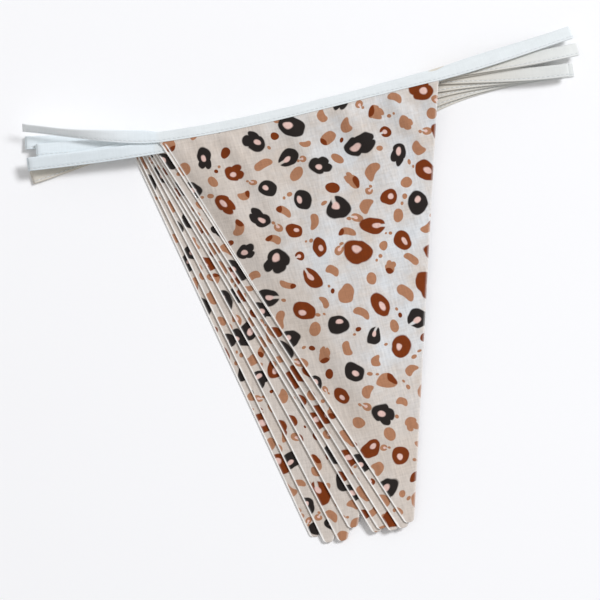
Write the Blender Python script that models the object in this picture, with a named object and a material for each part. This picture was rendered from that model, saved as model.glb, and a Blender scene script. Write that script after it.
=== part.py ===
"""Fabric bunting, folded flat into a fanned stack and laid on a level surface.

Nine double cotton pennants hang from one long folded binding tape. The tape runs along the
top of a pennant, out past its corner, and folds back over itself to the next pennant, so that
the pennants lie on each other and fan about their top left corners. The sheets lie in the XY
plane with +Z up, and the lowest pennant is flat on the surface.
"""

import math
from collections import namedtuple

import bmesh
import bpy
import numpy as np

MM = 0.001  # metres in a millimetre; every size below is in millimetres

# The cut of a pennant
FLAG_WIDTH = 199.5
TIP_WIDTH = 6.5
FLAG_THICK = 1.0
TONGUE_THICK = 0.3  # its pressed top, held inside the tape
TONGUE_REACH = 5.8
NECK = 0.8  # how far below the tape it is still pressed
SHOULDER = 3.2  # and where it has its full thickness

# The binding tape, folded lengthwise over the pennants' tops and sewn shut between them
TAPE_OVER_FLAG = 7.6
TAPE_FREE = 9.2
WIDTH_CHANGE = 12.0  # the length in which it widens past a corner
TAPE_THICK = 1.7
STRAND_THICK = 1.1
SLOT = 1.1
SLOT_DEPTH = 6.6
SEAM_SLOT = 0.25  # the fine groove between the two sewn edges of a free strand
SEAM_DEPTH = 1.0
SLOT_OVERRUN = 1.5  # how far the slot runs on past a pennant's corner
ROUNDING = 0.01  # more than the rounding of any length here

# How the layers lie on each other
FLAG_PITCH = 1.55
TAPE_EXTRA = 0.65  # the tape is this much thicker than a pennant
FLAG_FALL = 50.0  # beyond the edge of a pennant, those above come down within this
TAPE_FALL = 22.0
EXTRA_FALL = 45.0
CROWN = 1.6  # air lifts the middle of the stack by this
CROWN_RADIUS = 130.0
CROWN_AT = (105.0, -130.0)

# The bend of the tape between the corners, below the straight line that joins them
BOW = 2.5
BOW_LEAN = 0.8
TURN_REACH = 8.0  # at a corner the tape turns into its new direction within this on each side

# One row for each pennant, from the top one down: its left corner, the turn of its top edge
# in degrees, how far along that edge and how far below it its tip lies, and the slopes in
# degrees at which the tape leaves its left and its right corner.
Flag = namedtuple("Flag", "x y turn reach depth left_slope right_slope")
FLAGS = (
    Flag(0.0, 0.0, 12.5, 113.2, 297.8, 5.0, 14.0),
    Flag(-1.4, -7.8, 14.3, 102.2, 296.8, 9.0, 22.0),
    Flag(-4.9, -5.0, 14.0, 99.1, 299.6, 12.0, 10.0),
    Flag(-7.7, -4.7, 13.3, 98.0, 296.5, 4.0, 11.0),
    Flag(-10.5, -4.3, 12.9, 98.7, 298.5, 3.0, 5.0),
    Flag(-13.3, -3.6, 10.7, 96.7, 289.4, -4.0, 12.0),
    Flag(-16.1, -2.9, 8.8, 100.3, 295.3, -3.0, 19.0),
    Flag(-18.9, -3.6, 6.6, 104.3, 291.0, 14.0, 26.0),
    Flag(-20.6, -5.0, 5.1, 104.5, 282.2, 15.0, 36.0),
)

# One row for each end of a strand, in the order in which the tape reaches them: its place and
# the slope of the strand there. The first and the last are the tape's free ends, and at the
# others it folds back.
Fold = namedtuple("Fold", "x y slope")
FOLDS = (
    Fold(-96.6, 8.3, -5.0),
    Fold(288.4, 73.4, 19.0),
    Fold(-91.0, -19.4, 6.0),
    Fold(292.6, 61.5, 14.0),
    Fold(-85.4, -9.6, 5.5),
    Fold(285.6, 46.8, 8.5),
    Fold(-93.8, -4.0, 3.0),
    Fold(277.2, 46.6, 9.5),
    Fold(-88.2, -27.8, 17.0),
    Fold(291.2, 47.5, 8.0),
)
TAIL_TWIST = 58.0  # the first free end turns on edge by this, in degrees
TWIST_LENGTH = 75.0

# How finely the shapes are divided: shares of a pennant's width and of its depth
COLUMNS = (0.0, 0.04, 0.11, 0.19, 0.28, 0.37, 0.46, 0.55, 0.64, 0.73, 0.82, 0.9, 0.96, 1.0)
ROWS = (0.0, 0.013, 0.032, 0.06, 0.1, 0.16, 0.24, 0.34, 0.45, 0.56, 0.67, 0.77, 0.86, 0.935, 1.0)
STRAND_STEP = 10.0
TURN_STEPS = (45.0, 90.0, 135.0)  # degrees round the half circle of a fold

Layer = namedtuple("Layer", "flag outline line across width thick slot slot_depth twist over")


def unit(vectors):
    return vectors / np.linalg.norm(vectors, axis=-1, keepdims=True)


def heading(degrees):
    angle = math.radians(degrees)
    return np.array([math.cos(angle), math.sin(angle)])


def fall(distance, within):
    """1 up to an edge, easing down to 0 at the distance within past it."""
    share = np.clip(distance / within, 0.0, 1.0)
    return 1.0 - share * share * (3.0 - 2.0 * share)


def top_edge(flag, shares):
    """Points on the tape's open edge above a pennant, at these shares of its width."""
    along = heading(flag.turn)
    away = np.array([-along[1], along[0]])
    bow = BOW * 4.0 * shares * (1.0 - shares) * (1.0 + BOW_LEAN * (1.0 - 2.0 * shares))
    return np.array([flag.x, flag.y]) + np.outer(shares * FLAG_WIDTH, along) - np.outer(bow, away)


def tip_edge(flag, shares):
    """Points along a pennant's blunt tip, in the same order."""
    along = heading(flag.turn)
    away = np.array([-along[1], along[0]])
    middle = np.array([flag.x, flag.y]) + flag.reach * along - flag.depth * away
    return middle + np.outer((shares - 0.5) * TIP_WIDTH, along)


def strand(start, start_slope, fold, side):
    """The open edge of the tape from a corner out to a fold, without the corner itself."""
    end = np.array([fold.x, fold.y])
    length = np.linalg.norm(end - start)
    leave = side * heading(start_slope) * length
    arrive = side * heading(fold.slope) * length
    t = np.linspace(0.0, 1.0, round(length / STRAND_STEP) + 1)[1:, None]
    from_start = (1.0 + 2.0 * t) * (1.0 - t) ** 2 * start + t * (1.0 - t) ** 2 * leave
    return from_start + t * t * (3.0 - 2.0 * t) * end + t * t * (t - 1.0) * arrive


def eased_directions(line, along):
    """The direction of the tape at each point, turning gently where the line has a corner."""
    step = np.diff(line, axis=0)
    middle = (along[1:] + along[:-1]) / 2.0
    near = np.exp(-(((middle - along[:, None]) / TURN_REACH) ** 2))
    return unit(near @ step)


def layer_of(number):
    """One pennant and its stretch of tape, laid out flat from the left fold to the right one."""
    flag = FLAGS[number]
    shares = np.array(COLUMNS)
    edge = top_edge(flag, shares)
    # The tape folds at the right of the first pennant, then at the left, and so on.
    left, right = (number, number + 1) if number % 2 == 0 else (number + 1, number)
    sides = []
    for corner, slope, fold, side in (
        (edge[0], flag.left_slope, FOLDS[left], -1.0),
        (edge[-1], flag.right_slope, FOLDS[right], 1.0),
    ):
        overrun = corner + side * SLOT_OVERRUN * heading(slope)
        sides.append(np.vstack([overrun, strand(corner, slope, fold, side)]))
    line = np.vstack([sides[0][::-1], edge, sides[1]])
    first = len(sides[0])
    last = first + len(edge) - 1
    step = np.linalg.norm(np.diff(line, axis=0), axis=1)
    along = np.concatenate([[0.0], np.cumsum(step)])
    past = np.maximum(along[first] - along, along - along[last])
    free = np.clip(past / WIDTH_CHANGE, 0.0, 1.0)
    slotted = past <= SLOT_OVERRUN + ROUNDING
    tangent = eased_directions(line, along)
    twist = np.zeros(len(line))
    if number == 0:
        twist = TAIL_TWIST * (1.0 - fall(along[first] - along, TWIST_LENGTH))
    return Layer(
        flag=flag,
        outline=np.vstack([edge[[0, -1]], tip_edge(flag, np.array([1.0, 0.0]))]),
        line=line,
        across=np.column_stack([-tangent[:, 1], tangent[:, 0]]),
        width=TAPE_OVER_FLAG + free * (TAPE_FREE - TAPE_OVER_FLAG),
        thick=np.where(slotted, TAPE_THICK, STRAND_THICK),
        slot=np.where(slotted, SLOT, SEAM_SLOT),
        slot_depth=np.where(slotted, SLOT_DEPTH, SEAM_DEPTH),
        twist=np.radians(twist),
        over=slice(first, last + 1),
    )


def outside_tape(points, layer):
    """How far each point is outside the band that a layer's tape covers."""
    middle = layer.line + layer.across * layer.width[:, None] / 2.0
    start = middle[:-1]
    run = middle[1:] - start
    from_start = points[:, None] - start
    share = np.clip((from_start * run).sum(-1) / (run * run).sum(-1), 0.0, 1.0)
    away = np.linalg.norm(from_start - share[..., None] * run, axis=-1)
    return (away - layer.width[:-1] / 2.0).min(axis=1)


def outside_flag(points, layer):
    """How far each point is outside a pennant's four straight edges."""
    corners = layer.outline
    run = unit(np.roll(corners, -1, axis=0) - corners)
    outward = np.column_stack([-run[:, 1], run[:, 0]])
    return ((points[:, None] - corners) * outward).sum(-1).max(axis=1)


def bed(layers, number, points):
    """The height on which a layer lies at these points: all that is below it, one by one."""
    crown = fall(np.linalg.norm(points - CROWN_AT, axis=1), CROWN_RADIUS)
    height = CROWN * crown * (len(layers) - 1 - number) / (len(layers) - 1)
    for lower in layers[number + 1 :]:
        off_tape = outside_tape(points, lower)
        off_flag = outside_flag(points, lower)
        sheet = np.maximum(fall(off_tape, TAPE_FALL), fall(off_flag, FLAG_FALL))
        height = height + FLAG_PITCH * sheet + TAPE_EXTRA * fall(off_tape, EXTRA_FALL)
    return height


def tape_edges(layers, number):
    """The middle of the tape's thickness, along its open edge and along its folded edge."""
    layer = layers[number]
    flat = layer.width * np.cos(layer.twist)
    rise = layer.width * np.sin(layer.twist)
    outer = layer.line + layer.across * flat[:, None]
    low = bed(layers, number, layer.line) + layer.thick / 2.0
    high = bed(layers, number, outer) + layer.thick / 2.0
    raised = np.maximum(low, high)
    low = np.where(rise > 0.0, raised, low)
    high = np.where(rise > 0.0, raised + rise, high)
    return np.column_stack([layer.line, low]), np.column_stack([outer, high])


def flag_points(layers, number):
    """The under side and the upper side of a pennant, as columns of points from top to tip."""
    layer = layers[number]
    open_edge, folded_edge = (edge[layer.over] for edge in tape_edges(layers, number))
    up_tape = (folded_edge - open_edge) / layer.width[layer.over][:, None]
    shares = np.array(COLUMNS)
    foot = tip_edge(layer.flag, shares)
    length = np.linalg.norm(foot - open_edge[:, :2], axis=1)[:, None]
    down = unit(foot - open_edge[:, :2])
    under, upper = [], []
    lift = np.array([0.0, 0.0, TONGUE_THICK / 2.0])
    for reach in (TONGUE_REACH, -NECK):
        middle = open_edge + reach * up_tape
        under.append(middle - lift)
        upper.append(middle + lift)
    for share in ROWS:
        place = open_edge[:, :2] + down * (SHOULDER + (length - SHOULDER) * share)
        floor = bed(layers, number, place)
        under.append(np.column_stack([place, floor]))
        upper.append(np.column_stack([place, floor + FLAG_THICK]))
    return np.array(under), np.array(upper)


def tape_run(layers):
    """The tape's sections along its whole length: middle, across, outward, and four sizes."""
    sections = []
    for number, layer in enumerate(layers):
        open_edge, folded_edge = tape_edges(layers, number)
        middle = (open_edge + folded_edge) / 2.0
        across = unit(folded_edge - open_edge)
        width = np.linalg.norm(folded_edge - open_edge, axis=1)
        order = range(len(middle))
        if number % 2:
            order = order[::-1]
        travel = unit(np.gradient(middle[list(order)], axis=0))
        stretch = []
        for place, forward in zip(order, travel):
            outward = unit(np.cross(forward, across[place]))
            sizes = (width[place], layer.thick[place], layer.slot[place], layer.slot_depth[place])
            stretch.append((middle[place], across[place], outward, sizes))
        if sections:
            sections += turn_between(sections[-1], stretch[0])
        sections += stretch
    return sections


def turn_between(before, after):
    """The half round in which the tape folds back from one stretch onto the next."""
    centre = (before[0] + after[0]) / 2.0
    radius = np.linalg.norm(before[0] - after[0]) / 2.0
    up = unit(before[0] - after[0])
    side = 1.0 if np.dot(up, before[2]) > 0.0 else -1.0
    outward = side * up
    forward = unit(np.cross(before[1], outward))
    sections = []
    for degrees in TURN_STEPS:
        angle = math.radians(degrees)
        swing = math.cos(angle) * outward + math.sin(angle) * forward
        place = centre + radius * (side * math.cos(angle) * outward + math.sin(angle) * forward)
        across = unit(before[1] * (180.0 - degrees) + after[1] * degrees)
        sections.append((place, across, swing, before[3]))
    return sections


def section_points(section):
    """The eight corners of the folded tape's U, from the under leaf round to the slot."""
    middle, across, outward, (width, thick, slot, depth) = section
    half = width / 2.0
    corners = (
        (-half, -thick / 2.0),
        (half, -thick / 2.0),
        (half, thick / 2.0),
        (-half, thick / 2.0),
        (-half, slot / 2.0),
        (depth - half, slot / 2.0),
        (depth - half, -slot / 2.0),
        (-half, -slot / 2.0),
    )
    return [middle + a * across + n * outward for a, n in corners]


def srgb(code):
    """A hex colour as linear red, green, blue and alpha."""
    parts = [int(code[i : i + 2], 16) / 255.0 for i in (0, 2, 4)]
    return [p / 12.92 if p <= 0.04045 else ((p + 0.055) / 1.055) ** 2.4 for p in parts] + [1.0]


def material(name, colour, roughness):
    made = bpy.data.materials.new(name)
    made.use_nodes = True
    shader = made.node_tree.nodes["Principled BSDF"]
    shader.inputs["Base Color"].default_value = srgb(colour)
    shader.inputs["Roughness"].default_value = roughness
    shader.inputs["Metallic"].default_value = 0.0
    return made


def add_object(name, bm, finish):
    bmesh.ops.recalc_face_normals(bm, faces=bm.faces)
    mesh = bpy.data.meshes.new(name)
    bm.to_mesh(mesh)
    bm.free()
    mesh.materials.append(finish)
    made = bpy.data.objects.new(name, mesh)
    bpy.context.scene.collection.objects.link(made)
    return made


def make_flag(layers, number, finish):
    """A grid laid on the pennant's under side, and its copy raised to the upper side."""
    under, upper = flag_points(layers, number)
    rows, columns = under.shape[0] - 1, under.shape[1] - 1
    bm = bmesh.new()
    bmesh.ops.create_grid(bm, x_segments=columns, y_segments=rows, size=1.0)
    raised = bmesh.ops.extrude_face_region(bm, geom=list(bm.faces), use_keep_orig=True)
    copies = [item for item in raised["geom"] if isinstance(item, bmesh.types.BMVert)]
    bmesh.ops.translate(bm, verts=copies, vec=(0.0, 0.0, 1.0))
    for vert in bm.verts:
        column = round((vert.co.x + 1.0) / 2.0 * columns)
        row = round((1.0 - vert.co.y) / 2.0 * rows)
        side = upper if vert.co.z > 0.5 else under
        vert.co = side[row, column] * MM
    return add_object(f"flag_{number + 1}", bm, finish)


def make_tape(layers, finish):
    """The tape's sections, joined one to the next, and closed at its two ends."""
    bm = bmesh.new()
    rings = [
        [bm.verts.new(point * MM) for point in section_points(section)]
        for section in tape_run(layers)
    ]
    for ring, following in zip(rings, rings[1:]):
        for here in range(len(ring)):
            beside = (here + 1) % len(ring)
            bm.faces.new((ring[here], ring[beside], following[beside], following[here]))
    for ring in (rings[0], rings[-1]):
        for corners in ((0, 7, 6, 1), (1, 6, 5, 2), (2, 5, 4, 3)):
            bm.faces.new([ring[corner] for corner in corners])
    return add_object("binding_tape", bm, finish)


def centre_on_floor(objects):
    """Moves the shapes so that the origin is under the middle of their box."""
    points = np.array([vert.co for made in objects for vert in made.data.vertices])
    low, high = points.min(axis=0), points.max(axis=0)
    shift = -np.array([(low[0] + high[0]) / 2.0, (low[1] + high[1]) / 2.0, low[2]])
    for made in objects:
        for vert in made.data.vertices:
            vert.co = np.array(vert.co) + shift


def main():
    for old in list(bpy.data.objects):
        bpy.data.objects.remove(old, do_unlink=True)
    printed = material("printed_cotton", "DAD6D2", 0.85)
    binding = material("cotton_binding", "E0E6E8", 0.8)
    layers = [layer_of(number) for number in range(len(FLAGS))]
    made = [make_flag(layers, number, printed) for number in range(len(FLAGS))]
    made.append(make_tape(layers, binding))
    centre_on_floor(made)


main()
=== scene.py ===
# %% [markdown]
# # Cotton bunting, folded into a fanned stack
#
# The object is a string of printed cotton pennants on one folded binding tape. It is folded
# back and forth for storage, so nine pennants lie on each other and fan about their top left
# corners. The solid model holds the layout. This script gives every solid its cloth: real
# thin edges, seams, puckers, stitches, the print and the weave.

# %% The frame
import math
from collections import namedtuple

import bmesh
import bpy
import numpy as np
from mathutils import Matrix


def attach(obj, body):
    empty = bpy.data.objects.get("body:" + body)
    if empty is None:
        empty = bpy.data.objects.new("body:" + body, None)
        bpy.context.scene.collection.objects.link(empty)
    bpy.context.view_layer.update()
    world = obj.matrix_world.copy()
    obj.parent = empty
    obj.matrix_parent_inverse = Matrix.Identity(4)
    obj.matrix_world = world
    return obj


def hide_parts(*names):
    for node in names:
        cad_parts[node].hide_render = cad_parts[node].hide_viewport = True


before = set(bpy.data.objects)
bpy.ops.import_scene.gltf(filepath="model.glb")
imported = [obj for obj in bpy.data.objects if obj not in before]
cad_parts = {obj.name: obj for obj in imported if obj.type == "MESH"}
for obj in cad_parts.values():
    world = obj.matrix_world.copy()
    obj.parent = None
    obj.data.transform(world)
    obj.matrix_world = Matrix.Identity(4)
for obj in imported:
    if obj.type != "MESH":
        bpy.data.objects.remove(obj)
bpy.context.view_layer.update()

MM = 0.001  # metres in a millimetre; the sizes below are in millimetres

# %% [markdown]
# ## The camera and the light
#
# The photo looks straight down on the stack from some way off, so the camera hangs 2 m above
# it with a long lens. One millimetre of the object is the same everywhere in such a picture,
# and the lens follows from the width that the picture shows. The light in the photo is very
# soft and a little cool, and it comes a little more from the upper right: each pennant and
# the tape have a thin dark line along their left or lower edge, and the cloth is a little
# warmer and darker to the left. A wide lamp there, a weak warm one opposite and a bright even
# sky give that, together with a painted shade that makes the cloth warmer and darker towards
# its left side and tip.

# %% The camera and the light
VIEW_WIDTH = 420.0  # what the picture shows from side to side
VIEW_CENTRE = (98.0, -110.0)  # from the top pennant's left corner to the picture's middle
CAMERA_HEIGHT = 2000.0
STACK_HEIGHT = 14.0  # the height at which that width holds
SENSOR = 36.0
SKY = 0.44


def add_object(name, data):
    made = bpy.data.objects.new(name, data)
    bpy.context.scene.collection.objects.link(made)
    return made


def hex_colour(code):
    """A colour's sRGB hex code as the linear red, green, blue and alpha that nodes want."""
    parts = [int(code[i : i + 2], 16) / 255.0 for i in (0, 2, 4)]
    return [p / 12.92 if p <= 0.04045 else ((p + 0.055) / 1.055) ** 2.4 for p in parts] + [1.0]


def add_lamp(name, place, size, power, colour):
    """A square lamp that points at the origin."""
    lamp = bpy.data.lights.new(name, "AREA")
    lamp.size = size
    lamp.energy = power
    lamp.color = hex_colour(colour)[:3]
    made = add_object(name, lamp)
    made.location = place
    made.rotation_mode = "QUATERNION"
    made.rotation_quaternion = made.location.to_track_quat("Z", "Y")


camera = add_object("camera", bpy.data.cameras.new("camera"))
camera.data.sensor_width = SENSOR
camera.data.lens = SENSOR * (CAMERA_HEIGHT - STACK_HEIGHT) / VIEW_WIDTH
bpy.context.scene.camera = camera
add_lamp("key_lamp", place=(3.2, 2.4, 4.4), size=1.5, power=252.0, colour="FAFBFF")
add_lamp("fill_lamp", place=(-0.9, 0.0, 2.8), size=1.2, power=5.0, colour="FFF1E2")
world = bpy.data.worlds.new("studio")
world.use_nodes = True
world.node_tree.nodes["Background"].inputs["Color"].default_value = hex_colour("F8F9FC")
world.node_tree.nodes["Background"].inputs["Strength"].default_value = SKY
bpy.context.scene.world = world
bpy.context.scene.view_settings.view_transform = "Standard"
print("the lens, in mm:", round(camera.data.lens, 1))

# %% [markdown]
# ## How the bunting is laid out
#
# A flat folded textile is best described by its plan: where each pennant's corner lies, how
# far its top edge is turned, and where the tape folds back. The height then follows by
# itself, because every layer simply lies on all that is under it. The tables are the same
# as those of the solid model, with a finer spacing, so the cloth lies where its solid lies.

# %% The plan
FLAG_WIDTH = 199.5
TIP_WIDTH = 6.5
TAPE_OVER_FLAG = 7.6  # the tape's width over a pennant, and free of one
TAPE_FREE = 9.2
WIDTH_CHANGE = 12.0  # the length over which that changes
BOW = 2.5  # how far a pennant's top bows down in its middle
BOW_LEAN = 0.8
TURN_REACH = 8.0  # the stretch over which the tape turns at a pennant's corner
STRAND_STEP = 3.0

# A pennant's top left corner, the turn of its top in degrees, how far along and down from
# there its tip is, and the slopes at which its tape leaves to both sides
Flag = namedtuple("Flag", "x y turn reach depth left_slope right_slope")
FLAGS = (
    Flag(0.0, 0.0, 12.5, 113.2, 297.8, 5.0, 14.0),
    Flag(-1.4, -7.8, 14.3, 102.2, 296.8, 9.0, 22.0),
    Flag(-4.9, -5.0, 14.0, 99.1, 299.6, 12.0, 10.0),
    Flag(-7.7, -4.7, 13.3, 98.0, 296.5, 4.0, 11.0),
    Flag(-10.5, -4.3, 12.9, 98.7, 298.5, 3.0, 5.0),
    Flag(-13.3, -3.6, 10.7, 96.7, 289.4, -4.0, 12.0),
    Flag(-16.1, -2.9, 8.8, 100.3, 295.3, -3.0, 19.0),
    Flag(-18.9, -3.6, 6.6, 104.3, 291.0, 14.0, 26.0),
    Flag(-20.6, -5.0, 5.1, 104.5, 282.2, 15.0, 36.0),
)
# Where the tape folds back, or ends, and its slope there
Fold = namedtuple("Fold", "x y slope")
FOLDS = (
    Fold(-96.6, 8.3, -5.0),
    Fold(288.4, 73.4, 19.0),
    Fold(-91.0, -19.4, 6.0),
    Fold(292.6, 61.5, 14.0),
    Fold(-85.4, -9.6, 5.5),
    Fold(285.6, 46.8, 8.5),
    Fold(-93.8, -4.0, 3.0),
    Fold(277.2, 46.6, 9.5),
    Fold(-88.2, -27.8, 17.0),
    Fold(291.2, 47.5, 8.0),
)
TAIL_TWIST = 58.0  # the free end at the left turns by so many degrees over this length
TWIST_LENGTH = 75.0
ALONG_TOP = np.linspace(0.0, 1.0, 67)  # shares of a pennant's width at which its top is laid

Layer = namedtuple("Layer", "flag outline line across width free twist over run")


def unit(vectors):
    return vectors / np.linalg.norm(vectors, axis=-1, keepdims=True)


def heading(degrees):
    angle = math.radians(degrees)
    return np.array([math.cos(angle), math.sin(angle)])


def left_of(along):
    """The directions a quarter turn to the left of these."""
    return np.stack([-along[..., 1], along[..., 0]], axis=-1)


def fall(distance, within):
    """1 up to an edge, easing down to 0 at the distance within past it."""
    share = np.clip(distance / within, 0.0, 1.0)
    return 1.0 - share * share * (3.0 - 2.0 * share)


def run_along(line):
    """How far along a line each of its points is."""
    return np.concatenate([[0.0], np.cumsum(np.linalg.norm(np.diff(line, axis=0), axis=1))])


def read_along(places, run, values):
    """Rows of values that are known at each run, read at any places along."""
    return np.column_stack([np.interp(places, run, column) for column in values.T])


def top_edge(flag, shares):
    """Points on the tape's open edge above a pennant, at these shares of its width."""
    along = heading(flag.turn)
    bow = BOW * 4.0 * shares * (1.0 - shares) * (1.0 + BOW_LEAN * (1.0 - 2.0 * shares))
    line = np.array([flag.x, flag.y]) + np.outer(shares * FLAG_WIDTH, along)
    return line - np.outer(bow, left_of(along))


def tip_edge(flag, shares):
    """Points along a pennant's blunt tip, in the same order."""
    along = heading(flag.turn)
    middle = np.array([flag.x, flag.y]) + flag.reach * along - flag.depth * left_of(along)
    return middle + np.outer((shares - 0.5) * TIP_WIDTH, along)


def strand(start, start_slope, fold, side):
    """The open edge of the tape from a corner out to a fold, without the corner itself."""
    end = np.array([fold.x, fold.y])
    length = np.linalg.norm(end - start)
    leave = side * heading(start_slope) * length
    arrive = side * heading(fold.slope) * length
    t = np.linspace(0.0, 1.0, round(length / STRAND_STEP) + 1)[1:, None]
    from_start = (1.0 + 2.0 * t) * (1.0 - t) ** 2 * start + t * (1.0 - t) ** 2 * leave
    return from_start + t * t * (3.0 - 2.0 * t) * end + t * t * (t - 1.0) * arrive


def eased_directions(line, run):
    """The direction of the tape at each point, turning gently where the line has a corner."""
    step = np.diff(line, axis=0)
    middle = (run[1:] + run[:-1]) / 2.0
    near = np.exp(-(((middle - run[:, None]) / TURN_REACH) ** 2))
    return unit(near @ step)


def layer_of(number):
    """One pennant and its stretch of tape, laid out flat from the left fold to the right one."""
    flag = FLAGS[number]
    edge = top_edge(flag, ALONG_TOP)
    left, right = (number, number + 1) if number % 2 == 0 else (number + 1, number)
    out_left = strand(edge[0], flag.left_slope, FOLDS[left], -1.0)
    out_right = strand(edge[-1], flag.right_slope, FOLDS[right], 1.0)
    line = np.vstack([out_left[::-1], edge, out_right])
    first = len(out_left)
    last = first + len(edge) - 1
    run = run_along(line)
    past = np.maximum(0.0, np.maximum(run[first] - run, run - run[last]))
    free = np.clip(past / WIDTH_CHANGE, 0.0, 1.0)
    tangent = eased_directions(line, run)
    twist = np.zeros(len(line))
    if number == 0:
        twist = TAIL_TWIST * (1.0 - fall(run[first] - run, TWIST_LENGTH))
    return Layer(
        flag=flag,
        outline=np.vstack([edge[[0, -1]], tip_edge(flag, np.array([1.0, 0.0]))]),
        line=line,
        across=left_of(tangent),
        width=TAPE_OVER_FLAG + free * (TAPE_FREE - TAPE_OVER_FLAG),
        free=free,
        twist=np.radians(twist),
        over=slice(first, last + 1),
        run=run,
    )


layers = [layer_of(number) for number in range(len(FLAGS))]
print("tape in the nine layers, in mm:", round(sum(layer.run[-1] for layer in layers)))

# %% [markdown]
# ## How high each layer lies
#
# Pressed cloth in a stack lies flat, and drapes down gently where a layer below it ends. So
# the height at any point is a sum over the layers below: a full step inside each one, easing
# to nothing outside it. Air is caught between soft layers, which gives the stack a low crown
# and a few slow waves that grow towards the top. Each term is never negative, so no layer
# can pass through the one below it.

# %% How high each layer lies
TAPE_THICK = 1.5  # where the tape holds a pennant
FLAG_PITCH = 1.55  # from one pennant to the next, and how much more it is under the tape
TAPE_EXTRA = 0.65
FLAG_FALL = 50.0  # how far outside itself a layer still lifts what lies on it
TAPE_FALL = 22.0
EXTRA_FALL = 45.0
CROWN = 1.6
CROWN_RADIUS = 130.0
CROWN_AT = (105.0, -130.0)

# The top pennant is not pressed flat. It stands up a little from its edges: the rise, and how
# far in from the top, the right side, the tip and the left side it is reached
PUFF = 4.6
PUFF_IN = (70.0, 60.0, 110.0, 14.0)
PUFF_WIDENS = 0.06  # the left roll gets wider by this much for each millimetre down

# Slow waves in the cloth: the place of the middle of each, its length and width, the way it
# runs in degrees, and how far it lifts the top layer
Wave = namedtuple("Wave", "x y length width turn lift")
WAVES = (
    Wave(48.0, -42.0, 52.0, 10.0, -62.0, 1.8),
    Wave(84.0, -52.0, 60.0, 9.0, -70.0, 1.5),
    Wave(116.0, -80.0, 75.0, 11.0, -82.0, 1.8),
    Wave(152.0, -50.0, 55.0, 10.0, 74.0, 1.5),
    Wave(176.0, -105.0, 60.0, 8.0, 86.0, 1.3),
    Wave(96.0, -150.0, 60.0, 10.0, -60.0, 1.6),
    Wave(146.0, -150.0, 70.0, 11.0, -86.0, 1.6),
    Wave(130.0, -215.0, 50.0, 7.0, -66.0, 1.2),
    Wave(164.0, -225.0, 45.0, 7.0, 88.0, 1.2),
)


def outside_tape(points, layer):
    """How far each point is outside the band that a layer's tape covers."""
    middle = layer.line + layer.across * layer.width[:, None] / 2.0
    start = middle[:-1]
    run = middle[1:] - start
    from_start = points[:, None] - start
    share = np.clip((from_start * run).sum(-1) / (run * run).sum(-1), 0.0, 1.0)
    away = np.linalg.norm(from_start - share[..., None] * run, axis=-1)
    return (away - layer.width[:-1] / 2.0).min(axis=1)


def outside_flag(points, layer):
    """How far each point is outside each of a pennant's four straight edges."""
    run = unit(np.roll(layer.outline, -1, axis=0) - layer.outline)
    return ((points[:, None] - layer.outline) * left_of(run)).sum(-1)


def puff(points):
    """How far the cloth stands up inside the top pennant's edges."""
    within = -outside_flag(points, layers[0])
    reach = np.tile(PUFF_IN, (len(points), 1))
    reach[:, 3] += PUFF_WIDENS * np.maximum(within[:, 0], 0.0)
    return PUFF * np.prod(1.0 - fall(within, reach), axis=1)


def waves(points):
    """The height of the air caught in the cloth at these points, 0 or more."""
    height = puff(points)
    for wave in WAVES:
        along = heading(wave.turn)
        off = points - np.array([wave.x, wave.y])
        far = (off @ along / wave.length) ** 2
        wide = (off @ left_of(along) / wave.width) ** 2
        height = height + wave.lift * np.exp(-far - wide)
    return height


def bed(number, points):
    """The height on which a layer lies at these points: all that is below it, one by one."""
    caught = CROWN * fall(np.linalg.norm(points - CROWN_AT, axis=1), CROWN_RADIUS)
    height = (caught + waves(points)) * (len(layers) - 1 - number) / (len(layers) - 1)
    for lower in layers[number + 1 :]:
        off_tape = outside_tape(points, lower)
        off_flag = outside_flag(points, lower).max(axis=1)
        sheet = np.maximum(fall(off_tape, TAPE_FALL), fall(off_flag, FLAG_FALL))
        height = height + FLAG_PITCH * sheet + TAPE_EXTRA * fall(off_tape, EXTRA_FALL)
    return height


def tape_edges(number, thick):
    """The middle of the tape's thickness, along its open edge and along its folded edge."""
    layer = layers[number]
    flat = layer.width * np.cos(layer.twist)
    rise = layer.width * np.sin(layer.twist)
    outer = layer.line + layer.across * flat[:, None]
    low = bed(number, layer.line) + thick / 2.0
    high = bed(number, outer) + thick / 2.0
    raised = np.maximum(low, high)
    low = np.where(rise > 0.0, raised, low)
    high = np.where(rise > 0.0, raised + rise, high)
    return np.column_stack([layer.line, low]), np.column_stack([outer, high])


print("the top layer's corner lies at, in mm:", round(float(bed(0, layers[0].line[:1])[0]), 1))

# %% [markdown]
# ## Laying a grid of cloth
#
# A sheet of cloth is a grid, and a pressed piece with two sides is a grid and its copy. The
# grid comes from create_grid and the second side from an extrusion, which also makes the rim.
# Each vertex then only has to be told its row, its column and its side to find its place.
# The same flat grid gives the pattern its map: the cut piece before it was sewn.

# %% Helpers for grids of cloth
pieces = []


def add_piece(name, bm, material):
    """Makes an object of a finished bmesh, with smooth shading."""
    mesh = bpy.data.meshes.new(name)
    bm.to_mesh(mesh)
    bm.free()
    mesh.materials.append(material)
    mesh.shade_smooth()
    pieces.append(add_object(name, mesh))
    return pieces[-1]


def grid(rows, columns):
    """A flat grid with this many rows and columns of vertices."""
    bm = bmesh.new()
    bmesh.ops.create_grid(bm, x_segments=columns - 1, y_segments=rows - 1, size=1.0)
    return bm


def place_in(vert, rows, columns):
    """The row and the column of a vertex that is still in its flat grid."""
    column = round((vert.co.x + 1.0) / 2.0 * (columns - 1))
    row = round((1.0 - vert.co.y) / 2.0 * (rows - 1))
    return row, column


def write_map(bm, uv, spots):
    """Gives the cloth its map, from each vertex's place in mm on the flat piece."""
    for face in bm.faces:
        for loop in face.loops:
            loop[uv].uv = np.array(spots[loop.vert]) * MM


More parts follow.
